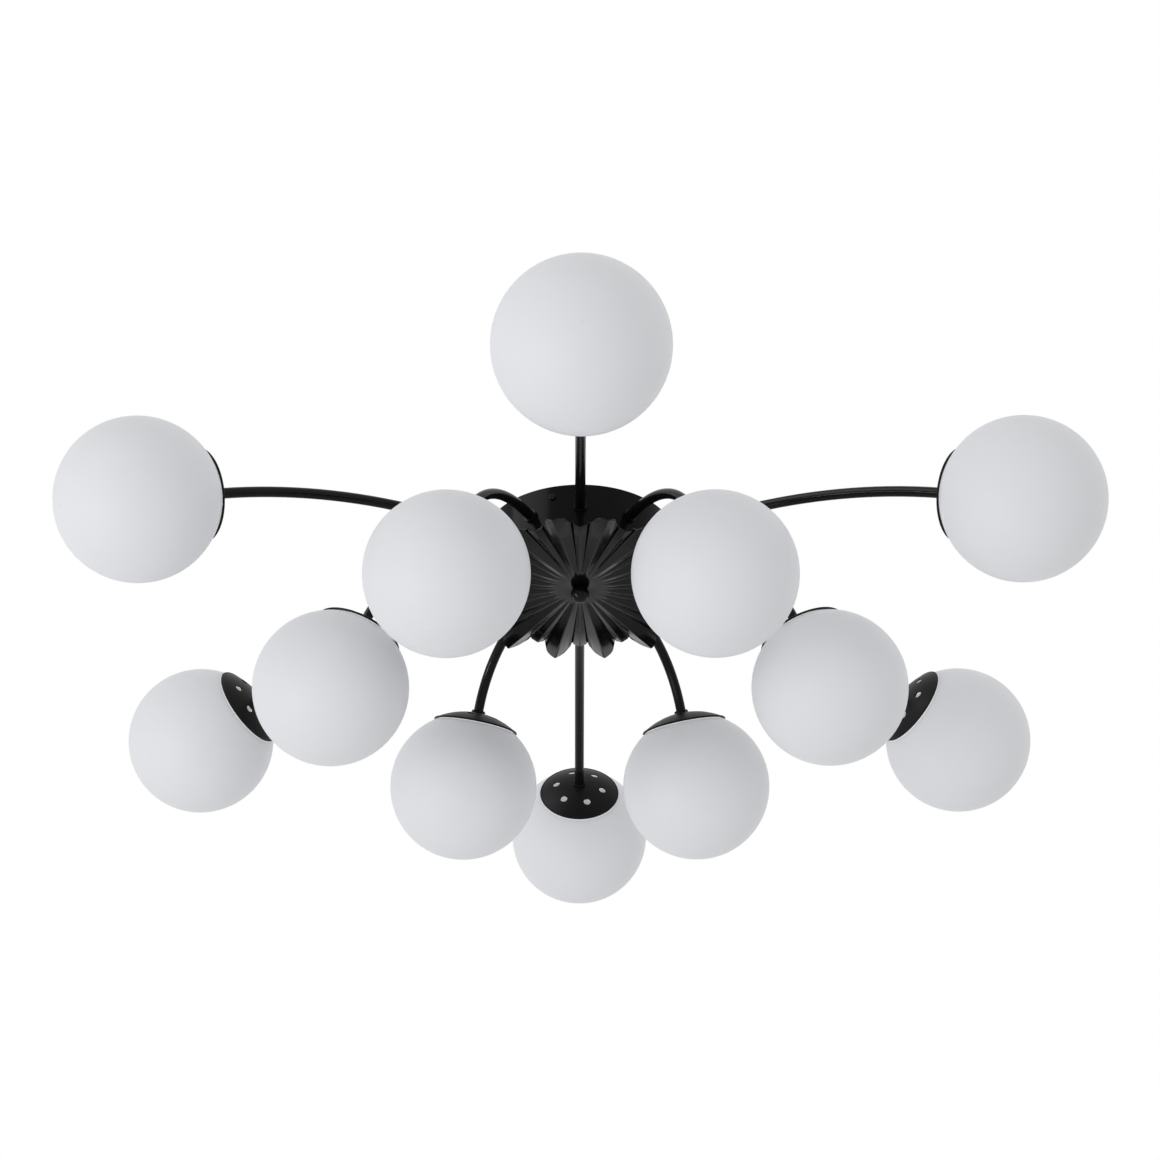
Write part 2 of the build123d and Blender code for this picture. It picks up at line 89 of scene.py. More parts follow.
# The black paint's edges are made lighter: partly rubbed paint, partly a painted highlight along rims and folds
PAINT_RUBBED_AND_HIGHLIGHT_WIDTH = 0.5 * MM
PAINT_DUST = 0.12  # level
PAINT_RUBBED_AND_HIGHLIGHT = 0.07
OPAL_CLOUD_SCALE = 16.0
OPAL_ETCH_SCALE = 1500.0
OPAL_WAVE_SCALE = 22.0
OPAL_COLOURS = ((0.80, 0.815, 0.84, 1), (0.83, 0.845, 0.87, 1))
OPAL_ROUGHNESS = 0.46
OPAL_WAVE_DEPTH = 0.15 * MM
OPAL_SPECULAR = 0.2
# Painted glow: the glass is given light of its own where the cap or another part comes close
OPAL_PAINTED_GLOW = 0.7
OPAL_PAINTED_GLOW_REACH = 2 * MM  # how close the cap or another part has to be for the painted glow
ZINC_SPANGLE_SCALE = 160.0
ZINC_SCRATCH_SCALE = 700.0
ZINC_SCRATCH_DEPTH = 0.02 * MM
ZINC_RUBBED_WIDTH = 0.4 * MM
ZINC_COLOURS = ((0.50, 0.50, 0.51, 1), (0.62, 0.62, 0.63, 1))
ZINC_RUBBED = (0.75, 0.75, 0.75, 1)
ZINC_ROUGHNESS = 0.30
PLASTIC_UNEVEN_SCALE = 30.0
PLASTIC_GRAIN_SCALE = 2200.0
PLASTIC_GRAIN_DEPTH = 0.03 * MM

# Sizes that the frame's boxes don't give
CAP_RIM_RADIUS = 43.5 * MM
CAP_GAP = 0.8 * MM
CAP_WALL = 1.2 * MM
HEM_RADIUS = 1.05 * MM
ARM_RADIUS = 5.0 * MM
ARM_DROP = {"outer": 26.0 * MM, "inner": 28.5 * MM}  # from the ceiling, at the canopy wall
CANOPY_WALL = 1.5 * MM
LOCK_NUT_ACROSS_FLATS = 14.0 * MM
LOCK_NUT_HEIGHT = 5.0 * MM
CAP_NUT_ACROSS_FLATS = 12.4 * MM
CAP_NUT_HEIGHT = 3.0 * MM
NUT_CHAMFER_ANGLE = 30
NUT_CHAMFER_REACH = 1.02  # past the corners, so that the cut is clean
NUT_LEAD = 0.25 * MM  # chamfer of the bore
NUT_ROUNDING = 0.12 * MM
SCREW_AZIMUTH = -16.3
SCREW_DROP = 12.5 * MM
SCREW_RADIUS = 2.0 * MM
SCREW_LENGTH = 9.0 * MM
SCREW_POINT = (0.7, 0.4)  # radius at the end and height, as shares of the shank's radius
SCREW_HEAD_RADIUS = 3.5 * MM
SCREW_HEAD_HEIGHT = 2.4 * MM
SCREW_CROWN = 0.6  # share of the head's height that is rounded
SCREW_RECESS = 4.2 * MM
SCREW_RECESS_WIDTH = SCREW_RECESS / 4.5
SCREW_ROUNDING = 0.1 * MM
TERMINAL_WAYS = 3
TERMINAL_ROUNDING = 0.8 * MM
TERMINAL_WIRE_RADIUS = 2.5 * MM
TERMINAL_SLOT_WIDTH = 2.0 * MM
TERMINAL_SLOT_DEPTH = 8.0 * MM
TERMINAL_WELL_RADIUS = 2.6 * MM
TERMINAL_WELL_DEPTH = 3.2 * MM
TERMINAL_SCREW_RADIUS = 2.3 * MM
TERMINAL_SCREW_RISE = 0.6  # of the head, as a share of its radius, as are the next two
TERMINAL_SCREW_SHANK = 0.6
TERMINAL_SCREW_SLOT = 0.15  # from the middle of the slot to its side
TERMINAL_SCREW_SLOT_FLOOR = 0.45  # share of the head's height
TERMINAL_SCREW_SPREAD = 5.2 * MM  # from the middle of a way to each of its screws
TERMINAL_SCREW_TURNS = (25, 60)  # of the first screw's slot, and from one screw to the next
HOLE_GAP = 0.15 * MM
FIT = 0.05 * MM

SHELL_PAIRS = 16  # each of a short petal and a long one
SHELL_COLUMNS = 28  # strips of sheet in each pair
SHELL_GROOVE = 5  # the strip, from the middle of a short petal, that is the groove beside it
SHELL_LONG = 131.0 * MM
SHELL_SHORT = 112.0 * MM
SHELL_TIP_DEPTH = 7.0 * MM
SHELL_TIP_HALF_WIDTH = 10.0 * MM
SHELL_LONG_CREST = -4.4 * MM  # heights at the short petals' edge, above the flat middle
SHELL_SHORT_CREST = -1.0 * MM
SHELL_FACE_EDGE = 2.4 * MM
SHELL_GROOVE_RISE = 4.8 * MM
SHELL_FACE_BEND = 0.9  # below 1, the faces are hollow and the crests sharp
SHELL_FOLD_ROUNDING = 0.5 * MM
SHELL_EDGE_ROUNDING = 0.3 * MM
SHELL_SHEET = 1.2 * MM
SHELL_FLAT_RADIUS = 25.0 * MM
SHELL_PLEAT_GROWTH = 0.85  # below 1, the pleats rise quickly from the flat
SHELL_BOSS_RADIUS = 20.0 * MM
SHELL_HOLE_RADIUS = 3.15 * MM
SHELL_STEPS = (29 * MM, 33 * MM, 60 * MM, 88 * MM)  # rings of the sheet between its flat and its edge

globe_low, globe_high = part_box("outer_globe_1")
globe_radius = (globe_high[2] - globe_low[2]) / 2
canopy_low, canopy_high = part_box("canopy")
canopy_radius = (canopy_high[0] - canopy_low[0]) / 2
cap_inside = globe_radius + CAP_GAP
cap_outside = cap_inside + CAP_WALL


# Modelling by hand


def clear_selection():
    """Leaves nothing selected, so that the next operator works on its own piece alone."""
    bpy.ops.object.select_all(action="DESELECT")


def active():
    return bpy.context.view_layer.objects.active


def edit():
    bpy.ops.object.mode_set(mode="EDIT")


def leave():
    bpy.ops.object.mode_set(mode="OBJECT")


def named(name):
    """Names the piece that has just been modelled, and its mesh."""
    piece = active()
    piece.name = name
    piece.data.name = name
    return piece


def arc(middle, radius, start, end, steps):
    """Points of an arc in the turning plane, as radius and height, by angles in degrees."""
    turns = [radians(start + (end - start) * step / steps) for step in range(steps + 1)]
    return [(middle[0] + radius * cos(turn), middle[1] + radius * sin(turn)) for turn in turns]


def turned(name, outline, steps, closed=False):
    """A piece turned about Z: its outline is drawn point by point and spun round."""
    clear_selection()
    bpy.ops.mesh.primitive_plane_add(size=MM)
    edit()
    bpy.ops.mesh.merge(type="CENTER")
    points = outline + outline[:1] if closed else outline
    bpy.ops.transform.translate(value=(points[0][0], 0, points[0][1]))
    for (radius, height), (next_radius, next_height) in zip(points, points[1:]):
        step = (next_radius - radius, 0, next_height - height)
        bpy.ops.mesh.extrude_region_move(TRANSFORM_OT_translate={"value": step})
    bpy.ops.mesh.select_all(action="SELECT")
    bpy.ops.mesh.remove_doubles(threshold=WELD)
    bpy.ops.mesh.spin(steps=steps, angle=2 * pi, center=(0, 0, 0), axis=(0, 0, 1))
    bpy.ops.mesh.select_all(action="SELECT")
    bpy.ops.mesh.remove_doubles(threshold=WELD)
    bpy.ops.mesh.normals_make_consistent(inside=False)
    leave()
    return named(name)


def pick_vertices(piece, wanted):
    """Selects, in edit mode, the vertices whose place is wanted, and no others."""
    bpy.ops.mesh.select_all(action="DESELECT")
    leave()
    for vertex in piece.data.vertices:
        vertex.select = wanted(vertex.co)
    edit()


def modify(piece, kind, **settings):
    """Adds a modifier to a piece and applies it."""
    clear_selection()
    piece.select_set(True)
    bpy.context.view_layer.objects.active = piece
    modifier = piece.modifiers.new(kind.title(), kind)
    for key, value in settings.items():
        setattr(modifier, key, value)
    bpy.ops.object.modifier_apply(modifier=modifier.name)


def round_edges(piece, width, sharper_than):
    """Rounds the edges that turn by more than an angle."""
    limit = {"limit_method": "ANGLE", "angle_limit": radians(sharper_than)}
    modify(piece, "BEVEL", width=width, segments=2, **limit)


def cut(piece, tool, operation="DIFFERENCE"):
    """Cuts a piece with another one, which is then thrown away."""
    modify(piece, "BOOLEAN", object=tool, operation=operation, solver="EXACT")
    bpy.data.objects.remove(tool)


def smooth(piece, angle):
    """Smooth shading, except over edges that turn by more than an angle."""
    clear_selection()
    piece.select_set(True)
    bpy.context.view_layer.objects.active = piece
    bpy.ops.object.shade_smooth_by_angle(angle=radians(angle))


def placed_copy(piece, name, matrix):
    """A copy of a piece with its own mesh, placed in that mesh."""
    copy = piece.copy()
    copy.data = piece.data.copy()
    copy.name = name
    copy.data.name = name
    copy.data.transform(matrix)
    bpy.context.collection.objects.link(copy)
    return copy


def join(name, pieces):
    """Makes one piece of several that stay apart as solids."""
    clear_selection()
    for piece in pieces:
        piece.select_set(True)
    bpy.context.view_layer.objects.active = pieces[0]
    bpy.ops.object.join()
    return named(name)


def finished(piece, body, slot, material, *replaced):
    """Puts a piece on its body, with its finish and the nodes that it stands for."""
    piece.data.materials.clear()
    piece.data.materials.append(material)
    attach(piece, body)
    if replaced:
        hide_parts(*replaced)


def lamp_matrix(ring, number):
    """Place of a lamp: the middle of its globe, with +Z up the arm's end and +X along the ring."""
    joint = joints[f"{ring}_globe_{number}_turn"]
    middle = Vector(joint["pos_m"])
    up = -Vector(joint["axis"]).normalized()
    along = Vector((0, 0, 1)).cross(Vector((middle.x, middle.y, 0))).normalized()
    turn = Matrix((along, up.cross(along), up)).transposed().to_4x4()
    return Matrix.Translation(middle) @ turn


def arm_matrix(ring, number):
    """Turns a piece that is built along +X so that it points along an arm."""
    middle = joints[f"{ring}_globe_{number}_turn"]["pos_m"]
    return Matrix.Rotation(atan2(middle[1], middle[0]), 4, "Z")


# Materials


class Signal:
    """What runs out of a node. Arithmetic on numbers adds Math nodes."""

    def __init__(self, finish, socket):
        self.finish = finish
        self.socket = socket

    def math(self, operation, *values):
        return self.finish.node("ShaderNodeMath", {"operation": operation}, dict(enumerate(values)))

    def __add__(self, other):
        return self.math("ADD", self, other)

    def __sub__(self, other):
        return self.math("SUBTRACT", self, other)

    def __rsub__(self, other):
        return self.math("SUBTRACT", other, self)

    def __mul__(self, other):
        return self.math("MULTIPLY", self, other)

    __radd__ = __add__
    __rmul__ = __mul__


class Finish:
    """One finish, built up node by node."""

    def __init__(self, name, tree_owner=None):
        self.material = tree_owner or bpy.data.materials.new(name)
        self.material.use_nodes = True
        self.tree = self.material.node_tree

    def node(self, kind, settings=None, sockets=None, output=0):
        """Adds a node with its settings and the values or links of its sockets."""
        node = self.tree.nodes.new(kind)
        for key, value in (settings or {}).items():
            if key == "stops":
                self.set_stops(node.color_ramp, value)
            else:
                setattr(node, key, value)
        for key, value in (sockets or {}).items():
            self.feed(node.inputs[key], value)
        return Signal(self, node.outputs[output])

    def feed(self, socket, value):
        if isinstance(value, Signal):
            self.tree.links.new(value.socket, socket)
        else:
            socket.default_value = value

    def set_stops(self, ramp, stops):
        """Sets a ramp's stops, given as position and grey."""
        while len(ramp.elements) < len(stops):
            ramp.elements.new(1.0)
        for element, (position, grey) in zip(ramp.elements, stops):
            element.position = position
            element.color = (grey, grey, grey, 1)

    def shader(self, **sockets):
        """Sets the sockets of the finish's own shader. Underscores stand for spaces."""
        shader = self.tree.nodes["Principled BSDF"]
        for key, value in sockets.items():
            self.feed(shader.inputs[key.replace("_", " ")], value)

    def place(self):
        return self.node("ShaderNodeTexCoord", output="Object")

    def noise(self, place, scale, detail=2.0, roughness=0.5):
        sockets = {"Vector": place, "Scale": scale, "Detail": detail, "Roughness": roughness}
        return self.node("ShaderNodeTexNoise", None, sockets)

    def ramp(self, value, *stops):
        return self.node("ShaderNodeValToRGB", {"stops": stops}, {0: value})

    def blend(self, factor, first, second):
        """Mixes two colours."""
        sockets = {0: factor, 6: first, 7: second}
        return self.node("ShaderNodeMix", {"data_type": "RGBA"}, sockets, output=2)

    def bump(self, height, depth, strength=1.0):
        sockets = {"Height": height, "Distance": depth, "Strength": strength}
        return self.node("ShaderNodeBump", None, sockets)

    def edges(self, radius):
        """Shows where an edge is worn: 0 on a plain face, rising towards 1 on a sharp edge."""
        soft = self.node("ShaderNodeBevel", {"samples": 4}, {"Radius": radius}, output="Normal")
        plain = self.node("ShaderNodeNewGeometry", output="Normal")
        dot = {"operation": "DOT_PRODUCT"}
        same = self.node("ShaderNodeVectorMath", dot, {0: soft, 1: plain}, output="Value")
        return 1 - same


def grey(level, tint=1.0):
    """A neutral colour, a little cooler where the tint is above 1."""
    return (level, level, level * tint, 1)


def black_paint(name, level, roughness, specular, peel_depth):
    """Sprayed black paint: fine orange peel, patchy sheen, a little dust, and edges lightened partly as rubbed
    paint and partly as a painted highlight.
    """
    finish = Finish(name)
    place = finish.place()
    patches = finish.noise(place, PAINT_PATCH_SCALE, detail=3.0)
    peel = finish.noise(place, PAINT_PEEL_SCALE)
    specks = finish.noise(place, PAINT_DUST_SCALE, detail=1.0)
    dust = finish.ramp(specks, (0.74, 0.0), (0.80, 1.0))
    # Lighter edges: partly rubbed paint, partly a painted highlight that draws bright lines along rims and folds
    edge_mask = finish.ramp(finish.edges(PAINT_RUBBED_AND_HIGHLIGHT_WIDTH), (0.04, 0.0), (0.35, 1.0))
    cloudy = finish.blend(patches, grey(level * 0.75, 1.1), grey(level * 1.25, 1.1))
    dusty = finish.blend(dust * 0.25, cloudy, grey(PAINT_DUST, 1.03))
    rubbed_and_highlit = finish.blend(edge_mask * 0.35, dusty, grey(PAINT_RUBBED_AND_HIGHLIGHT, 1.03))
    rough = roughness * (0.8 + patches * 0.4) + (peel - 0.5) * 0.04 + dust * 0.15 - edge_mask * 0.04
    finish.shader(Base_Color=rubbed_and_highlit, Roughness=rough, Normal=finish.bump(peel, peel_depth))
    finish.shader(Specular_IOR_Level=specular)
    return finish.material


def opal_glass():
    """Etched opal glass: a faint cloud in silky white, and a painted glow where the cap or another part covers it,
    so the vents show white.
    """
    finish = Finish("opal_glass")
    place = finish.place()
    cloud = finish.noise(place, OPAL_CLOUD_SCALE, detail=4.0, roughness=0.55)
    etch = finish.noise(place, OPAL_ETCH_SCALE)
    wave = finish.noise(place, OPAL_WAVE_SCALE, detail=1.0)
    colour = finish.blend(cloud, *OPAL_COLOURS)
    rough = OPAL_ROUGHNESS + (cloud - 0.5) * 0.10 + (etch - 0.5) * 0.08
    height = wave + etch * 0.02
    finish.shader(Base_Color=colour, Roughness=rough, Normal=finish.bump(height, OPAL_WAVE_DEPTH))
    # Painted glow: emission wherever ambient occlusion finds the cap or another part within reach
    reach = {"Distance": OPAL_PAINTED_GLOW_REACH}
    uncovered = finish.node("ShaderNodeAmbientOcclusion", {"samples": 4}, reach, output="AO")
    glow = finish.blend(1 - uncovered, grey(0.0), grey(OPAL_PAINTED_GLOW))
    finish.shader(Emission_Color=glow, Emission_Strength=1.0)
    finish.shader(Specular_IOR_Level=OPAL_SPECULAR)
    return finish.material


def zinc_plate():
    """Zinc plate on pressed steel: soft spangle, fine scratches and bright edges."""
    finish = Finish("zinc_plate")
    place = finish.place()
    cells = {"Vector": place, "Scale": ZINC_SPANGLE_SCALE}
    spangle = finish.node("ShaderNodeTexVoronoi", None, cells, output="Color")
    flake = finish.node("ShaderNodeSeparateColor", None, {0: spangle})
    scratch = finish.noise(place, ZINC_SCRATCH_SCALE, detail=4.0, roughness=0.7)
    edge_mask = finish.ramp(finish.edges(ZINC_RUBBED_WIDTH), (0.04, 0.0), (0.4, 1.0))
    plate = finish.blend(flake, *ZINC_COLOURS)
    colour = finish.blend(edge_mask * 0.5, plate, ZINC_RUBBED)
    rough = ZINC_ROUGHNESS + flake * 0.12 + (scratch - 0.5) * 0.12
    scratched = finish.bump(scratch, ZINC_SCRATCH_DEPTH)
    finish.shader(Base_Color=colour, Roughness=rough, Metallic=1.0, Normal=scratched)
    return finish.material


def moulded_white(name, level, roughness):
    """White moulded plastic: fine spark-eroded grain and a faint unevenness."""
    finish = Finish(name)
    place = finish.place()
    uneven = finish.noise(place, PLASTIC_UNEVEN_SCALE, detail=3.0)
    grain = finish.noise(place, PLASTIC_GRAIN_SCALE)
    colour = finish.blend(uneven, grey(level * 0.96, 0.96), grey(level, 0.97))
    rough = roughness + (uneven - 0.5) * 0.12 + (grain - 0.5) * 0.1
    grained = finish.bump(grain, PLASTIC_GRAIN_DEPTH)
    finish.shader(Base_Color=colour, Roughness=rough, Normal=grained)
    return finish.material


def pale_floor():
    """The studio floor, near white to the camera and in mirrors, with the object's shadow on it."""
    finish = Finish("pale_floor")
    place = finish.place()
    mottle = finish.noise(place, FLOOR_MOTTLE_SCALE, detail=3.0)
    finish.shader(Base_Color=finish.blend(mottle, grey(0.84), grey(0.88)), Roughness=0.7)
    glow = finish.node("ShaderNodeEmission", None, {"Strength": 1.0})
    seen = finish.node("ShaderNodeLightPath", output="Is Camera Ray")
    mirrored = finish.node("ShaderNodeLightPath", output="Is Glossy Ray")
    through = finish.node("ShaderNodeLightPath", output="Is Transmission Ray")
    length = {"operation": "LENGTH"}
    reach = finish.node("ShaderNodeVectorMath", length, {0: place}, output="Value")
    near_edge, far_edge = FLOOR_FADE
    far = finish.ramp(reach * (1 / FLOOR_SIZE), (near_edge, 0.0), (far_edge, 1.0))
    shown = seen.math("MAXIMUM", seen + mirrored, through)
    share = shown * (FLOOR_GLOW + far * FLOOR_FAR_GLOW)
    plain = Signal(finish, finish.tree.nodes["Principled BSDF"].outputs[0])
    mixed = finish.node("ShaderNodeMixShader", None, {0: share, 1: plain, 2: glow})
    finish.feed(finish.tree.nodes["Material Output"].inputs["Surface"], mixed)
    return finish.material


# Studio


def build_world():
    """Even light from all round, over a background that the camera, mirrors and glass see as white."""
    world = bpy.data.worlds.new("studio")
    bpy.context.scene.world = world
    sky = Finish("studio", world)
    rays = ("Camera", "Glossy", "Transmission")
    seen = [sky.node("ShaderNodeLightPath", output=f"Is {ray} Ray") for ray in rays]
    share = seen[0].math("MAXIMUM", seen[0], seen[0].math("MAXIMUM", seen[1], seen[2]))
    background = sky.tree.nodes["Background"]
    sky.feed(background.inputs["Color"], (1, 1, 1, 1))
    sky.feed(background.inputs["Strength"], AMBIENT + (1 - AMBIENT) * share)


def build_floor():
    clear_selection()
    bpy.ops.mesh.primitive_plane_add(size=FLOOR_SIZE, location=(0, 0, FLOOR_LEVEL))
    bpy.ops.object.transform_apply(location=True, rotation=False, scale=False)
    floor = named("floor")
    floor.data.materials.append(pale_floor())


def add_softbox(name, place, size, power):
    """A square lamp that faces the chandelier."""
    lamp = bpy.data.lights.new(name, "AREA")
    lamp.size = size
    lamp.energy = power
    box = bpy.data.objects.new(name, lamp)
    box.location = place
    box.rotation_euler = (Vector(LIGHT_AIM) - Vector(place)).to_track_quat("-Z", "Y").to_euler()
    bpy.context.collection.objects.link(box)
    return box


def unlit_globes():
    """The globes, as pieces that a lamp leaves out so that it doesn't burn spots into their edges."""
    globes = bpy.data.collections.new("unlit_globes")
    for ring, number in LAMPS:
        globes.objects.link(nodes[f"{ring}_globe_{number}"])
    for entry in globes.collection_objects:
        entry.light_linking.link_state = "EXCLUDE"
    return globes


def build_studio():
    """The room, a soft key light, and two lamps that only give glints."""
    build_world()
    build_floor()
    add_softbox("key_light", *KEY_LIGHT)
    spark_light = add_softbox("spark_light", *SPARK_LIGHT)
    side_light = add_softbox("side_light", *SIDE_LIGHT)
    globes = unlit_globes()
    for mirrored in (spark_light, side_light):
        mirrored.visible_diffuse = False
        mirrored.light_linking.receiver_collection = globes
    bpy.context.scene.view_settings.view_transform = "Standard"


def build_camera():
    data = bpy.data.cameras.new("camera")
    data.lens = CAMERA_LENS
    camera = bpy.data.objects.new("camera", data)
    yaw = Matrix.Rotation(radians(CAMERA_YAW), 4, "Z")
    pitch = Matrix.Rotation(radians(90 + CAMERA_PITCH), 4, "X")
    roll = Matrix.Rotation(radians(CAMERA_ROLL), 4, "Z")
    camera.matrix_world = Matrix.Translation(CAMERA_PLACE) @ yaw @ pitch @ roll
    bpy.context.collection.objects.link(camera)
    bpy.context.scene.camera = camera


# Fluted shell


def petal_reach(column):
    """How far the sheet reaches on a strip, counted from the middle of a short petal."""
    turn = (SHELL_COLUMNS / 2 - column) * 2 * pi / (SHELL_PAIRS * SHELL_COLUMNS)
    root_turn = (SHELL_COLUMNS / 2 - SHELL_GROOVE) * 2 * pi / (SHELL_PAIRS * SHELL_COLUMNS)
    if turn >= root_turn:
        return SHELL_SHORT
    side = SHELL_TIP_HALF_WIDTH
    tip_radius = (side**2 + SHELL_TIP_DEPTH**2) / (2 * SHELL_TIP_DEPTH)
    tip_middle = SHELL_LONG - tip_radius
    shoulder = Vector((SHELL_LONG - SHELL_TIP_DEPTH, side))
    if turn <= atan2(shoulder.y, shoulder.x):
        return tip_middle * cos(turn) + sqrt(tip_radius**2 - (tip_middle * sin(turn)) ** 2)
    root = SHELL_SHORT * Vector((cos(root_turn), sin(root_turn)))
    edge = root - shoulder
    across = shoulder.x * edge.y - shoulder.y * edge.x
    return across / (cos(turn) * edge.y - sin(turn) * edge.x)


def fold_height(column, radius):
    """Height of the sheet on a strip: hollow faces from each sharp crest up to a narrow groove."""
    rise = SHELL_GROOVE_RISE
    if column != SHELL_GROOVE:
        long = column > SHELL_GROOVE
        crest = SHELL_LONG_CREST if long else SHELL_SHORT_CREST
        middle = SHELL_COLUMNS / 2 if long else 0
        away = abs((column - middle) / (SHELL_GROOVE - middle))
        rise = crest + (SHELL_FACE_EDGE - crest) * away**SHELL_FACE_BEND
    share = (radius - SHELL_FLAT_RADIUS) / (SHELL_SHORT - SHELL_FLAT_RADIUS)
    return rise * share**SHELL_PLEAT_GROWTH


def strip_of(place):
    """Which strip of sheet a point is on, counted either way from the middle of a short petal."""
    columns = SHELL_PAIRS * SHELL_COLUMNS
    strip = round(atan2(place.x, -place.y) / (2 * pi / columns)) % SHELL_COLUMNS
    return min(strip, SHELL_COLUMNS - strip)


def draw_sheet(rings):
    """A flat ring of sheet, drawn outwards from the bolt hole."""
    clear_selection()
    bpy.ops.mesh.primitive_circle_add(vertices=SHELL_PAIRS * SHELL_COLUMNS, radius=rings[0])
    sheet = named("fluted_shell_sheet")
    edit()
    bpy.ops.mesh.select_all(action="SELECT")
    for radius, wider in zip(rings, rings[1:]):
        grow = wider / radius
        bpy.ops.mesh.extrude_region_move()
        bpy.ops.transform.resize(value=(grow, grow, 1), center_override=(0, 0, 0))
    return sheet


def pick_strip(sheet, column, radius):
    """Selects the sheet's points on one kind of strip, at one radius."""
    nearly = 0.1 * MM
    pick_vertices(sheet, lambda p: abs(hypot(p.x, p.y) - radius) < nearly and strip_of(p) == column)


def pleat_sheet(sheet):
    """Pulls each strip of the sheet out to its petal's edge and up or down to its height."""
    for column in range(SHELL_COLUMNS // 2 + 1):
        for radius in SHELL_STEPS:
            pick_strip(sheet, column, radius)
            bpy.ops.transform.translate(value=(0, 0, fold_height(column, radius)))
        reach = petal_reach(column)
        grow = reach / SHELL_SHORT
        pick_strip(sheet, column, SHELL_SHORT)
        bpy.ops.transform.resize(value=(grow, grow, 1), center_override=(0, 0, 0))
        bpy.ops.transform.translate(value=(0, 0, fold_height(column, reach)))


def round_folds(sheet):
    """Rounds the sheet's crests and grooves, which are its sharp folds."""
    folds = (0, SHELL_GROOVE, SHELL_COLUMNS // 2)
    bpy.ops.mesh.select_mode(type="EDGE")
    bpy.ops.mesh.select_all(action="DESELECT")
    leave()
    points = sheet.data.vertices
    for line in sheet.data.edges:
        first, second = (points[end].co for end in line.vertices)
        outwards = abs(hypot(first.x, first.y) - hypot(second.x, second.y)) > MM
        inner = min(hypot(first.x, first.y), hypot(second.x, second.y))
        line.select = outwards and inner > SHELL_STEPS[1] - MM and strip_of(first + second) in folds
    edit()
    bpy.ops.mesh.bevel(offset=SHELL_FOLD_ROUNDING, segments=2)
    bpy.ops.mesh.select_mode(type="VERT")


def build_shell(material):
    """The pressed flower: a ring of sheet, pleated strip by strip, with scalloped petals and a boss."""
    rings = [SHELL_HOLE_RADIUS, SHELL_BOSS_RADIUS, SHELL_FLAT_RADIUS, *SHELL_STEPS, SHELL_SHORT]
    sheet = draw_sheet(rings)
    pleat_sheet(sheet)
    round_folds(sheet)
    bpy.ops.mesh.select_all(action="SELECT")
    bpy.ops.mesh.normals_make_consistent(inside=False)
    leave()
    modify(sheet, "SOLIDIFY", thickness=SHELL_SHEET, offset=0)
    raise_boss(sheet)
    round_edges(sheet, SHELL_EDGE_ROUNDING, sharper_than=70)
    smooth(sheet, 35)
    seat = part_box("finial")[1][2] + FIT
    sheet.data.transform(Matrix.Translation((0, 0, seat + SHELL_SHEET / 2)))
    finished(sheet, "frame", "black_gloss", material, "fluted_shell")


def raise_boss(sheet):
    """Thickens the middle of the shell upwards, to meet the spacer."""
    spacer_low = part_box("shell_spacer")[0]
    rise = spacer_low[2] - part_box("finial")[1][2] - FIT - SHELL_SHEET
    clear_selection()
    sheet.select_set(True)
    bpy.context.view_layer.objects.active = sheet
    edit()
    bpy.ops.mesh.select_mode(type="FACE")
    bpy.ops.mesh.select_all(action="DESELECT")
    leave()
    for face in sheet.data.polygons:
        middle = face.center
        face.select = face.normal.z > 0.9 and hypot(middle.x, middle.y) < SHELL_BOSS_RADIUS
    edit()
    bpy.ops.mesh.extrude_region_move(TRANSFORM_OT_translate={"value": (0, 0, rise)})
    bpy.ops.mesh.select_mode(type="VERT")
    leave()


# Small fittings


def build_cap_hems(material):
    """The rolled edge of each dome cap."""
    middle = (cap_inside + cap_outside) / 2
    rim_height = sqrt(cap_outside**2 - CAP_RIM_RADIUS**2)
    rim_turn = atan2(rim_height, CAP_RIM_RADIUS) + HEM_RADIUS / middle
    rim = (middle * cos(rim_turn), middle * sin(rim_turn))
    bead = arc(rim, HEM_RADIUS, 0, 360, steps=12)[:-1]
    hem = turned("cap_hem", bead, steps=96, closed=True)
    smooth(hem, 60)
    for ring, number in LAMPS:
        piece = placed_copy(hem, f"{ring}_cap_hem_{number}", lamp_matrix(ring, number))
        finished(piece, "frame", "black_metal", material)
    bpy.data.objects.remove(hem)


def hexagon_nut(across_flats, height):
    """A chamfered nut that stands on Z = 0 round the arm."""
    corner = across_flats / sqrt(3)
    face = across_flats / 2
    bore = ARM_RADIUS + FIT
    clear_selection()
    middle = (0, 0, height / 2)
    bpy.ops.mesh.primitive_cylinder_add(vertices=6, radius=corner, depth=height, location=middle)
    bpy.ops.object.transform_apply(location=True, rotation=False, scale=False)
    nut = named("hexagon_nut")
    chamfer = corner * NUT_CHAMFER_REACH - face
    reach = face + chamfer
    drop = chamfer * tan(radians(NUT_CHAMFER_ANGLE))
    bottom = [(0, 0), (face, 0), (reach, drop)]
    top = [(reach, height - drop), (face, height), (0, height)]
    cut(nut, turned("nut_blank", bottom + top, steps=48), "INTERSECT")
    lead = NUT_LEAD
    mouth = bore + 2 * lead
    way_in = [(0, -lead), (mouth, -lead), (bore, lead)]
    way_out = [(bore, height - lead), (mouth, height + lead), (0, height + lead)]
    cut(nut, turned("nut_drill", way_in + way_out, steps=48))
    round_edges(nut, NUT_ROUNDING, sharper_than=28)
    smooth(nut, 40)
    return nut


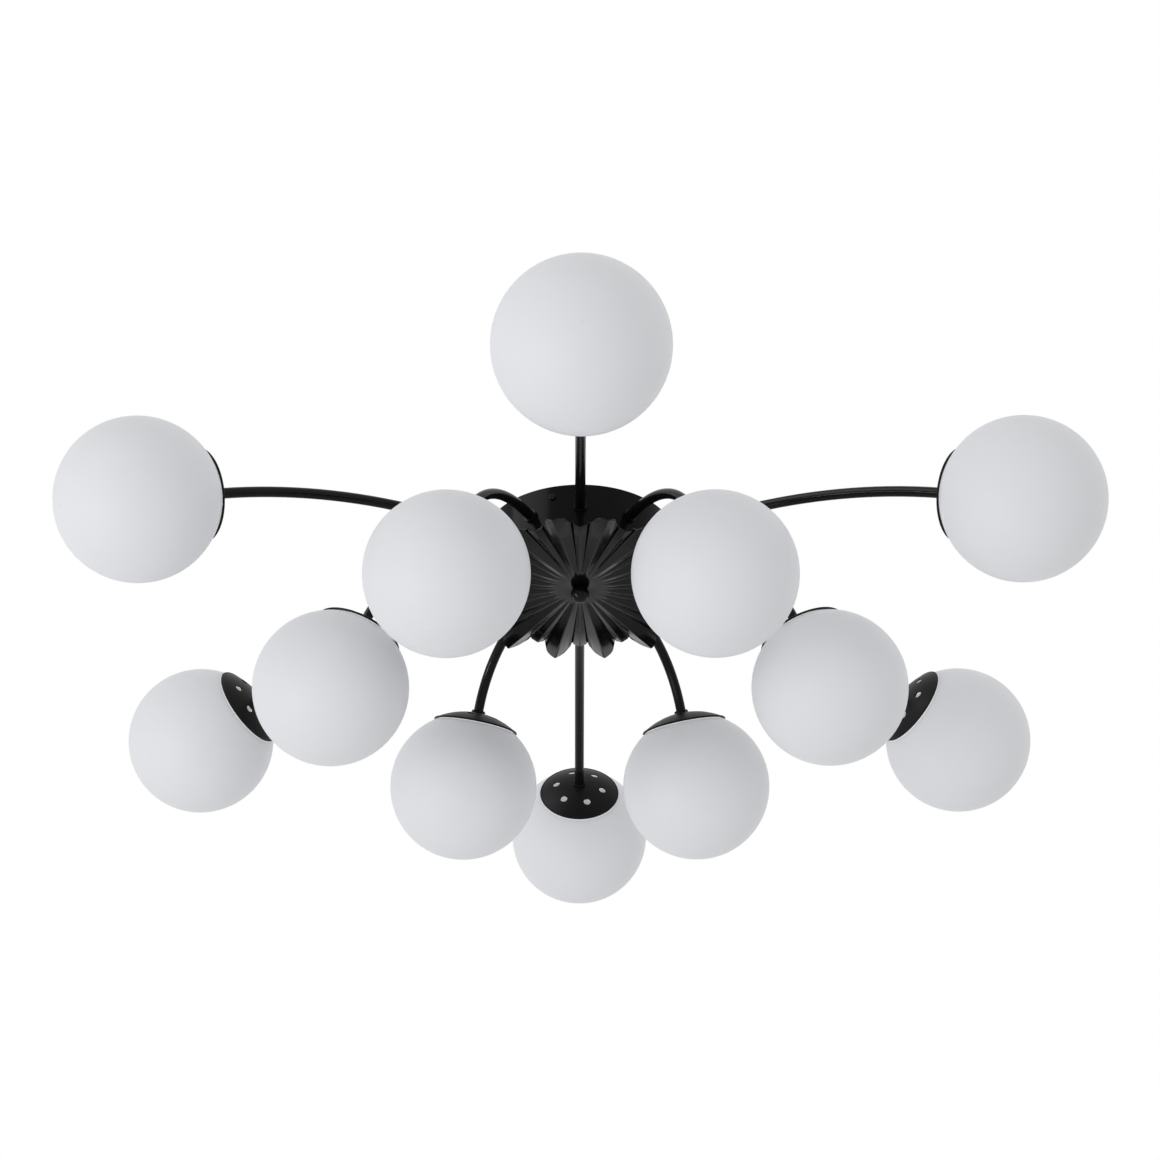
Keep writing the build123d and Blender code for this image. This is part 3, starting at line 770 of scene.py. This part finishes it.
def build_nuts(black, plated):
    """The nuts on top of the caps, and the lock nuts on the arms inside the canopy."""
    cap_nut = hexagon_nut(CAP_NUT_ACROSS_FLATS, CAP_NUT_HEIGHT)
    lock_nut = hexagon_nut(LOCK_NUT_ACROSS_FLATS, LOCK_NUT_HEIGHT)
    hole = ARM_RADIUS + HOLE_GAP
    cap_seat = Matrix.Translation((0, 0, sqrt(cap_outside**2 - hole**2) + FIT))
    wall = canopy_radius - CANOPY_WALL
    inward = Matrix.Rotation(-pi / 2, 4, "Y")
    wall_reach = sqrt(wall**2 - LOCK_NUT_ACROSS_FLATS**2 / 3) - FIT
    cap_nuts = []
    lock_nuts = []
    for ring, number in LAMPS:
        cap_place = lamp_matrix(ring, number) @ cap_seat
        cap_nuts.append(placed_copy(cap_nut, "cap_nut_copy", cap_place))
        wall_seat = Matrix.Translation((wall_reach, 0, -ARM_DROP[ring])) @ inward
        wall_place = arm_matrix(ring, number) @ wall_seat
        lock_nuts.append(placed_copy(lock_nut, "lock_nut_copy", wall_place))
    bpy.data.objects.remove(cap_nut)
    bpy.data.objects.remove(lock_nut)
    black_nuts = join("cap_nuts_chamfered", cap_nuts)
    finished(black_nuts, "frame", "black_metal", black, "cap_nuts")
    plated_nuts = join("lock_nuts_chamfered", lock_nuts)
    finished(plated_nuts, "frame", "plated_steel", plated, "arm_lock_nuts")


def build_side_screws(material):
    """The canopy's two pan-head screws, with a cross recess."""
    head, rise, shank = SCREW_HEAD_RADIUS, SCREW_HEAD_HEIGHT, SCREW_RADIUS
    point, point_rise = (share * shank for share in SCREW_POINT)
    rounded = rise * SCREW_CROWN
    crown = arc((head - rounded, rise - rounded), rounded, 0, 90, steps=6)
    outline = [(0, -SCREW_LENGTH), (point, -SCREW_LENGTH), (shank, point_rise - SCREW_LENGTH)]
    outline += [(shank, 0), (head, 0), *crown, (0, rise)]
    screw = turned("side_screw", outline, steps=32)
    for turn in (0, pi / 2):
        clear_selection()
        bpy.ops.mesh.primitive_cube_add(size=1, location=(0, 0, rise), rotation=(0, 0, turn))
        slot = active()
        slot.scale = (SCREW_RECESS, SCREW_RECESS_WIDTH, rise)
        bpy.ops.object.transform_apply(location=True, rotation=True, scale=True)
        cut(screw, slot)
    round_edges(screw, SCREW_ROUNDING, sharper_than=40)
    smooth(screw, 40)
    outward = Matrix.Rotation(pi / 2, 4, "Y")
    copies = []
    for azimuth in (SCREW_AZIMUTH, SCREW_AZIMUTH + 180):
        turn = Matrix.Rotation(radians(azimuth - 90), 4, "Z")
        place = turn @ Matrix.Translation((canopy_radius, 0, -SCREW_DROP)) @ outward
        copies.append(placed_copy(screw, "side_screw_copy", place))
    bpy.data.objects.remove(screw)
    pair = join("canopy_screws_cross", copies)
    finished(pair, "frame", "black_metal", material, "canopy_screws")


def boxed(name, low, high):
    """A rectangular block between two corners."""
    clear_selection()
    middle = [(a + b) / 2 for a, b in zip(low, high)]
    bpy.ops.mesh.primitive_cube_add(size=1, location=middle)
    active().scale = [b - a for a, b in zip(low, high)]
    bpy.ops.object.transform_apply(location=True, rotation=False, scale=True)
    return named(name)


def drill_bit(radius, start, end):
    """A round bar from one point to another, to cut a hole with."""
    along = Vector(end) - Vector(start)
    clear_selection()
    bpy.ops.mesh.primitive_cylinder_add(
        vertices=40,
        radius=radius,
        depth=along.length,
        location=(Vector(start) + Vector(end)) / 2,
        rotation=along.to_track_quat("Z", "Y").to_euler(),
    )
    bpy.ops.object.transform_apply(location=True, rotation=True, scale=False)
    return named("drill_bit")


def slotted_screw():
    """A small screw with a slotted, domed head, whose head's underside is at Z = 0."""
    head = TERMINAL_SCREW_RADIUS
    rise = head * TERMINAL_SCREW_RISE
    shank = head * TERMINAL_SCREW_SHANK
    dome = arc((head - rise / 2, rise / 2), rise / 2, 0, 90, steps=5)
    outline = [(0, -2 * rise), (shank, -2 * rise), (shank, 0), (head, 0), *dome, (0, rise)]
    screw = turned("slotted_screw", outline, steps=28)
    side = head * TERMINAL_SCREW_SLOT
    slot_low = (-2 * head, -side, rise * TERMINAL_SCREW_SLOT_FLOOR)
    cut(screw, boxed("screw_slot", slot_low, (2 * head, side, 2 * rise)))
    smooth(screw, 40)
    return screw


def build_terminal_block(plastic, plated):
    """The terminal block: slots between its ways, wire holes, and screws down in their wells."""
    low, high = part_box("terminal_block")
    pitch = (high[0] - low[0]) / TERMINAL_WAYS
    middle = (low[1] + high[1]) / 2
    level = (low[2] + high[2]) / 2
    well_floor = high[2] - TERMINAL_WELL_DEPTH
    front, back, above = low[1] - MM, high[1] + MM, high[2] + MM
    block = boxed("terminal_block_moulded", low, high)
    modify(block, "BEVEL", width=TERMINAL_ROUNDING, segments=3)
    half_slot = TERMINAL_SLOT_WIDTH / 2
    first_turn, turn_step = TERMINAL_SCREW_TURNS
    screw = slotted_screw()
    screws = []
    for way in range(TERMINAL_WAYS):
        edge = low[0] + way * pitch
        if way:
            slot_low = (edge - half_slot, front, high[2] - TERMINAL_SLOT_DEPTH)
            cut(block, boxed("way_slot", slot_low, (edge + half_slot, back, above)))
        line = edge + pitch / 2
        cut(block, drill_bit(TERMINAL_WIRE_RADIUS, (line, front, level), (line, back, level)))
        for place in (middle - TERMINAL_SCREW_SPREAD, middle + TERMINAL_SCREW_SPREAD):
            bottom, top = (line, place, well_floor), (line, place, above)
            cut(block, drill_bit(TERMINAL_WELL_RADIUS, bottom, top))
            turn = Matrix.Rotation(radians(first_turn + turn_step * len(screws)), 4, "Z")
            seat = Matrix.Translation((line, place, well_floor))
            screws.append(placed_copy(screw, "terminal_screw", seat @ turn))
    bpy.data.objects.remove(screw)
    smooth(block, 35)
    finished(block, "frame", "white_plastic", plastic, "terminal_block")
    finished(join("terminal_screws", screws), "frame", "plated_steel", plated)


def dress(node, material):
    """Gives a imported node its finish."""
    for place in nodes[node].material_slots:
        place.material = material


def main():
    build_camera()
    build_studio()
    satin_black = black_paint("satin_black", *SATIN_BLACK)
    arm_black = black_paint("arm_black", *ARM_BLACK)
    canopy_shaded_black = black_paint("canopy_shaded_black", *CANOPY_SHADED_BLACK)
    gloss_black = black_paint("gloss_black", *GLOSS_BLACK)
    ball_black = black_paint("ball_black", *BALL_BLACK)
    by_slot = {
        "black_metal": satin_black,
        "black_gloss": gloss_black,
        "opal_glass": opal_glass(),
        "bulb_white": moulded_white("bulb_diffuser", *BULB_DIFFUSER),
        "plated_steel": zinc_plate(),
        "white_plastic": moulded_white("white_plastic", *WHITE_PLASTIC),
    }
    for subpart in frame["record"]["subparts"]:
        dress(subpart["node"], by_slot[subpart["material_slot"]])
    # Painted shade: the canopy gets a darker copy of the black paint
    dress("canopy", canopy_shaded_black)
    dress("finial", ball_black)
    for ring, number in LAMPS:
        dress(f"{ring}_arm_{number}", arm_black)
    build_shell(gloss_black)
    build_cap_hems(satin_black)
    build_nuts(satin_black, by_slot["plated_steel"])
    build_side_screws(satin_black)
    build_terminal_block(by_slot["white_plastic"], by_slot["plated_steel"])


main()
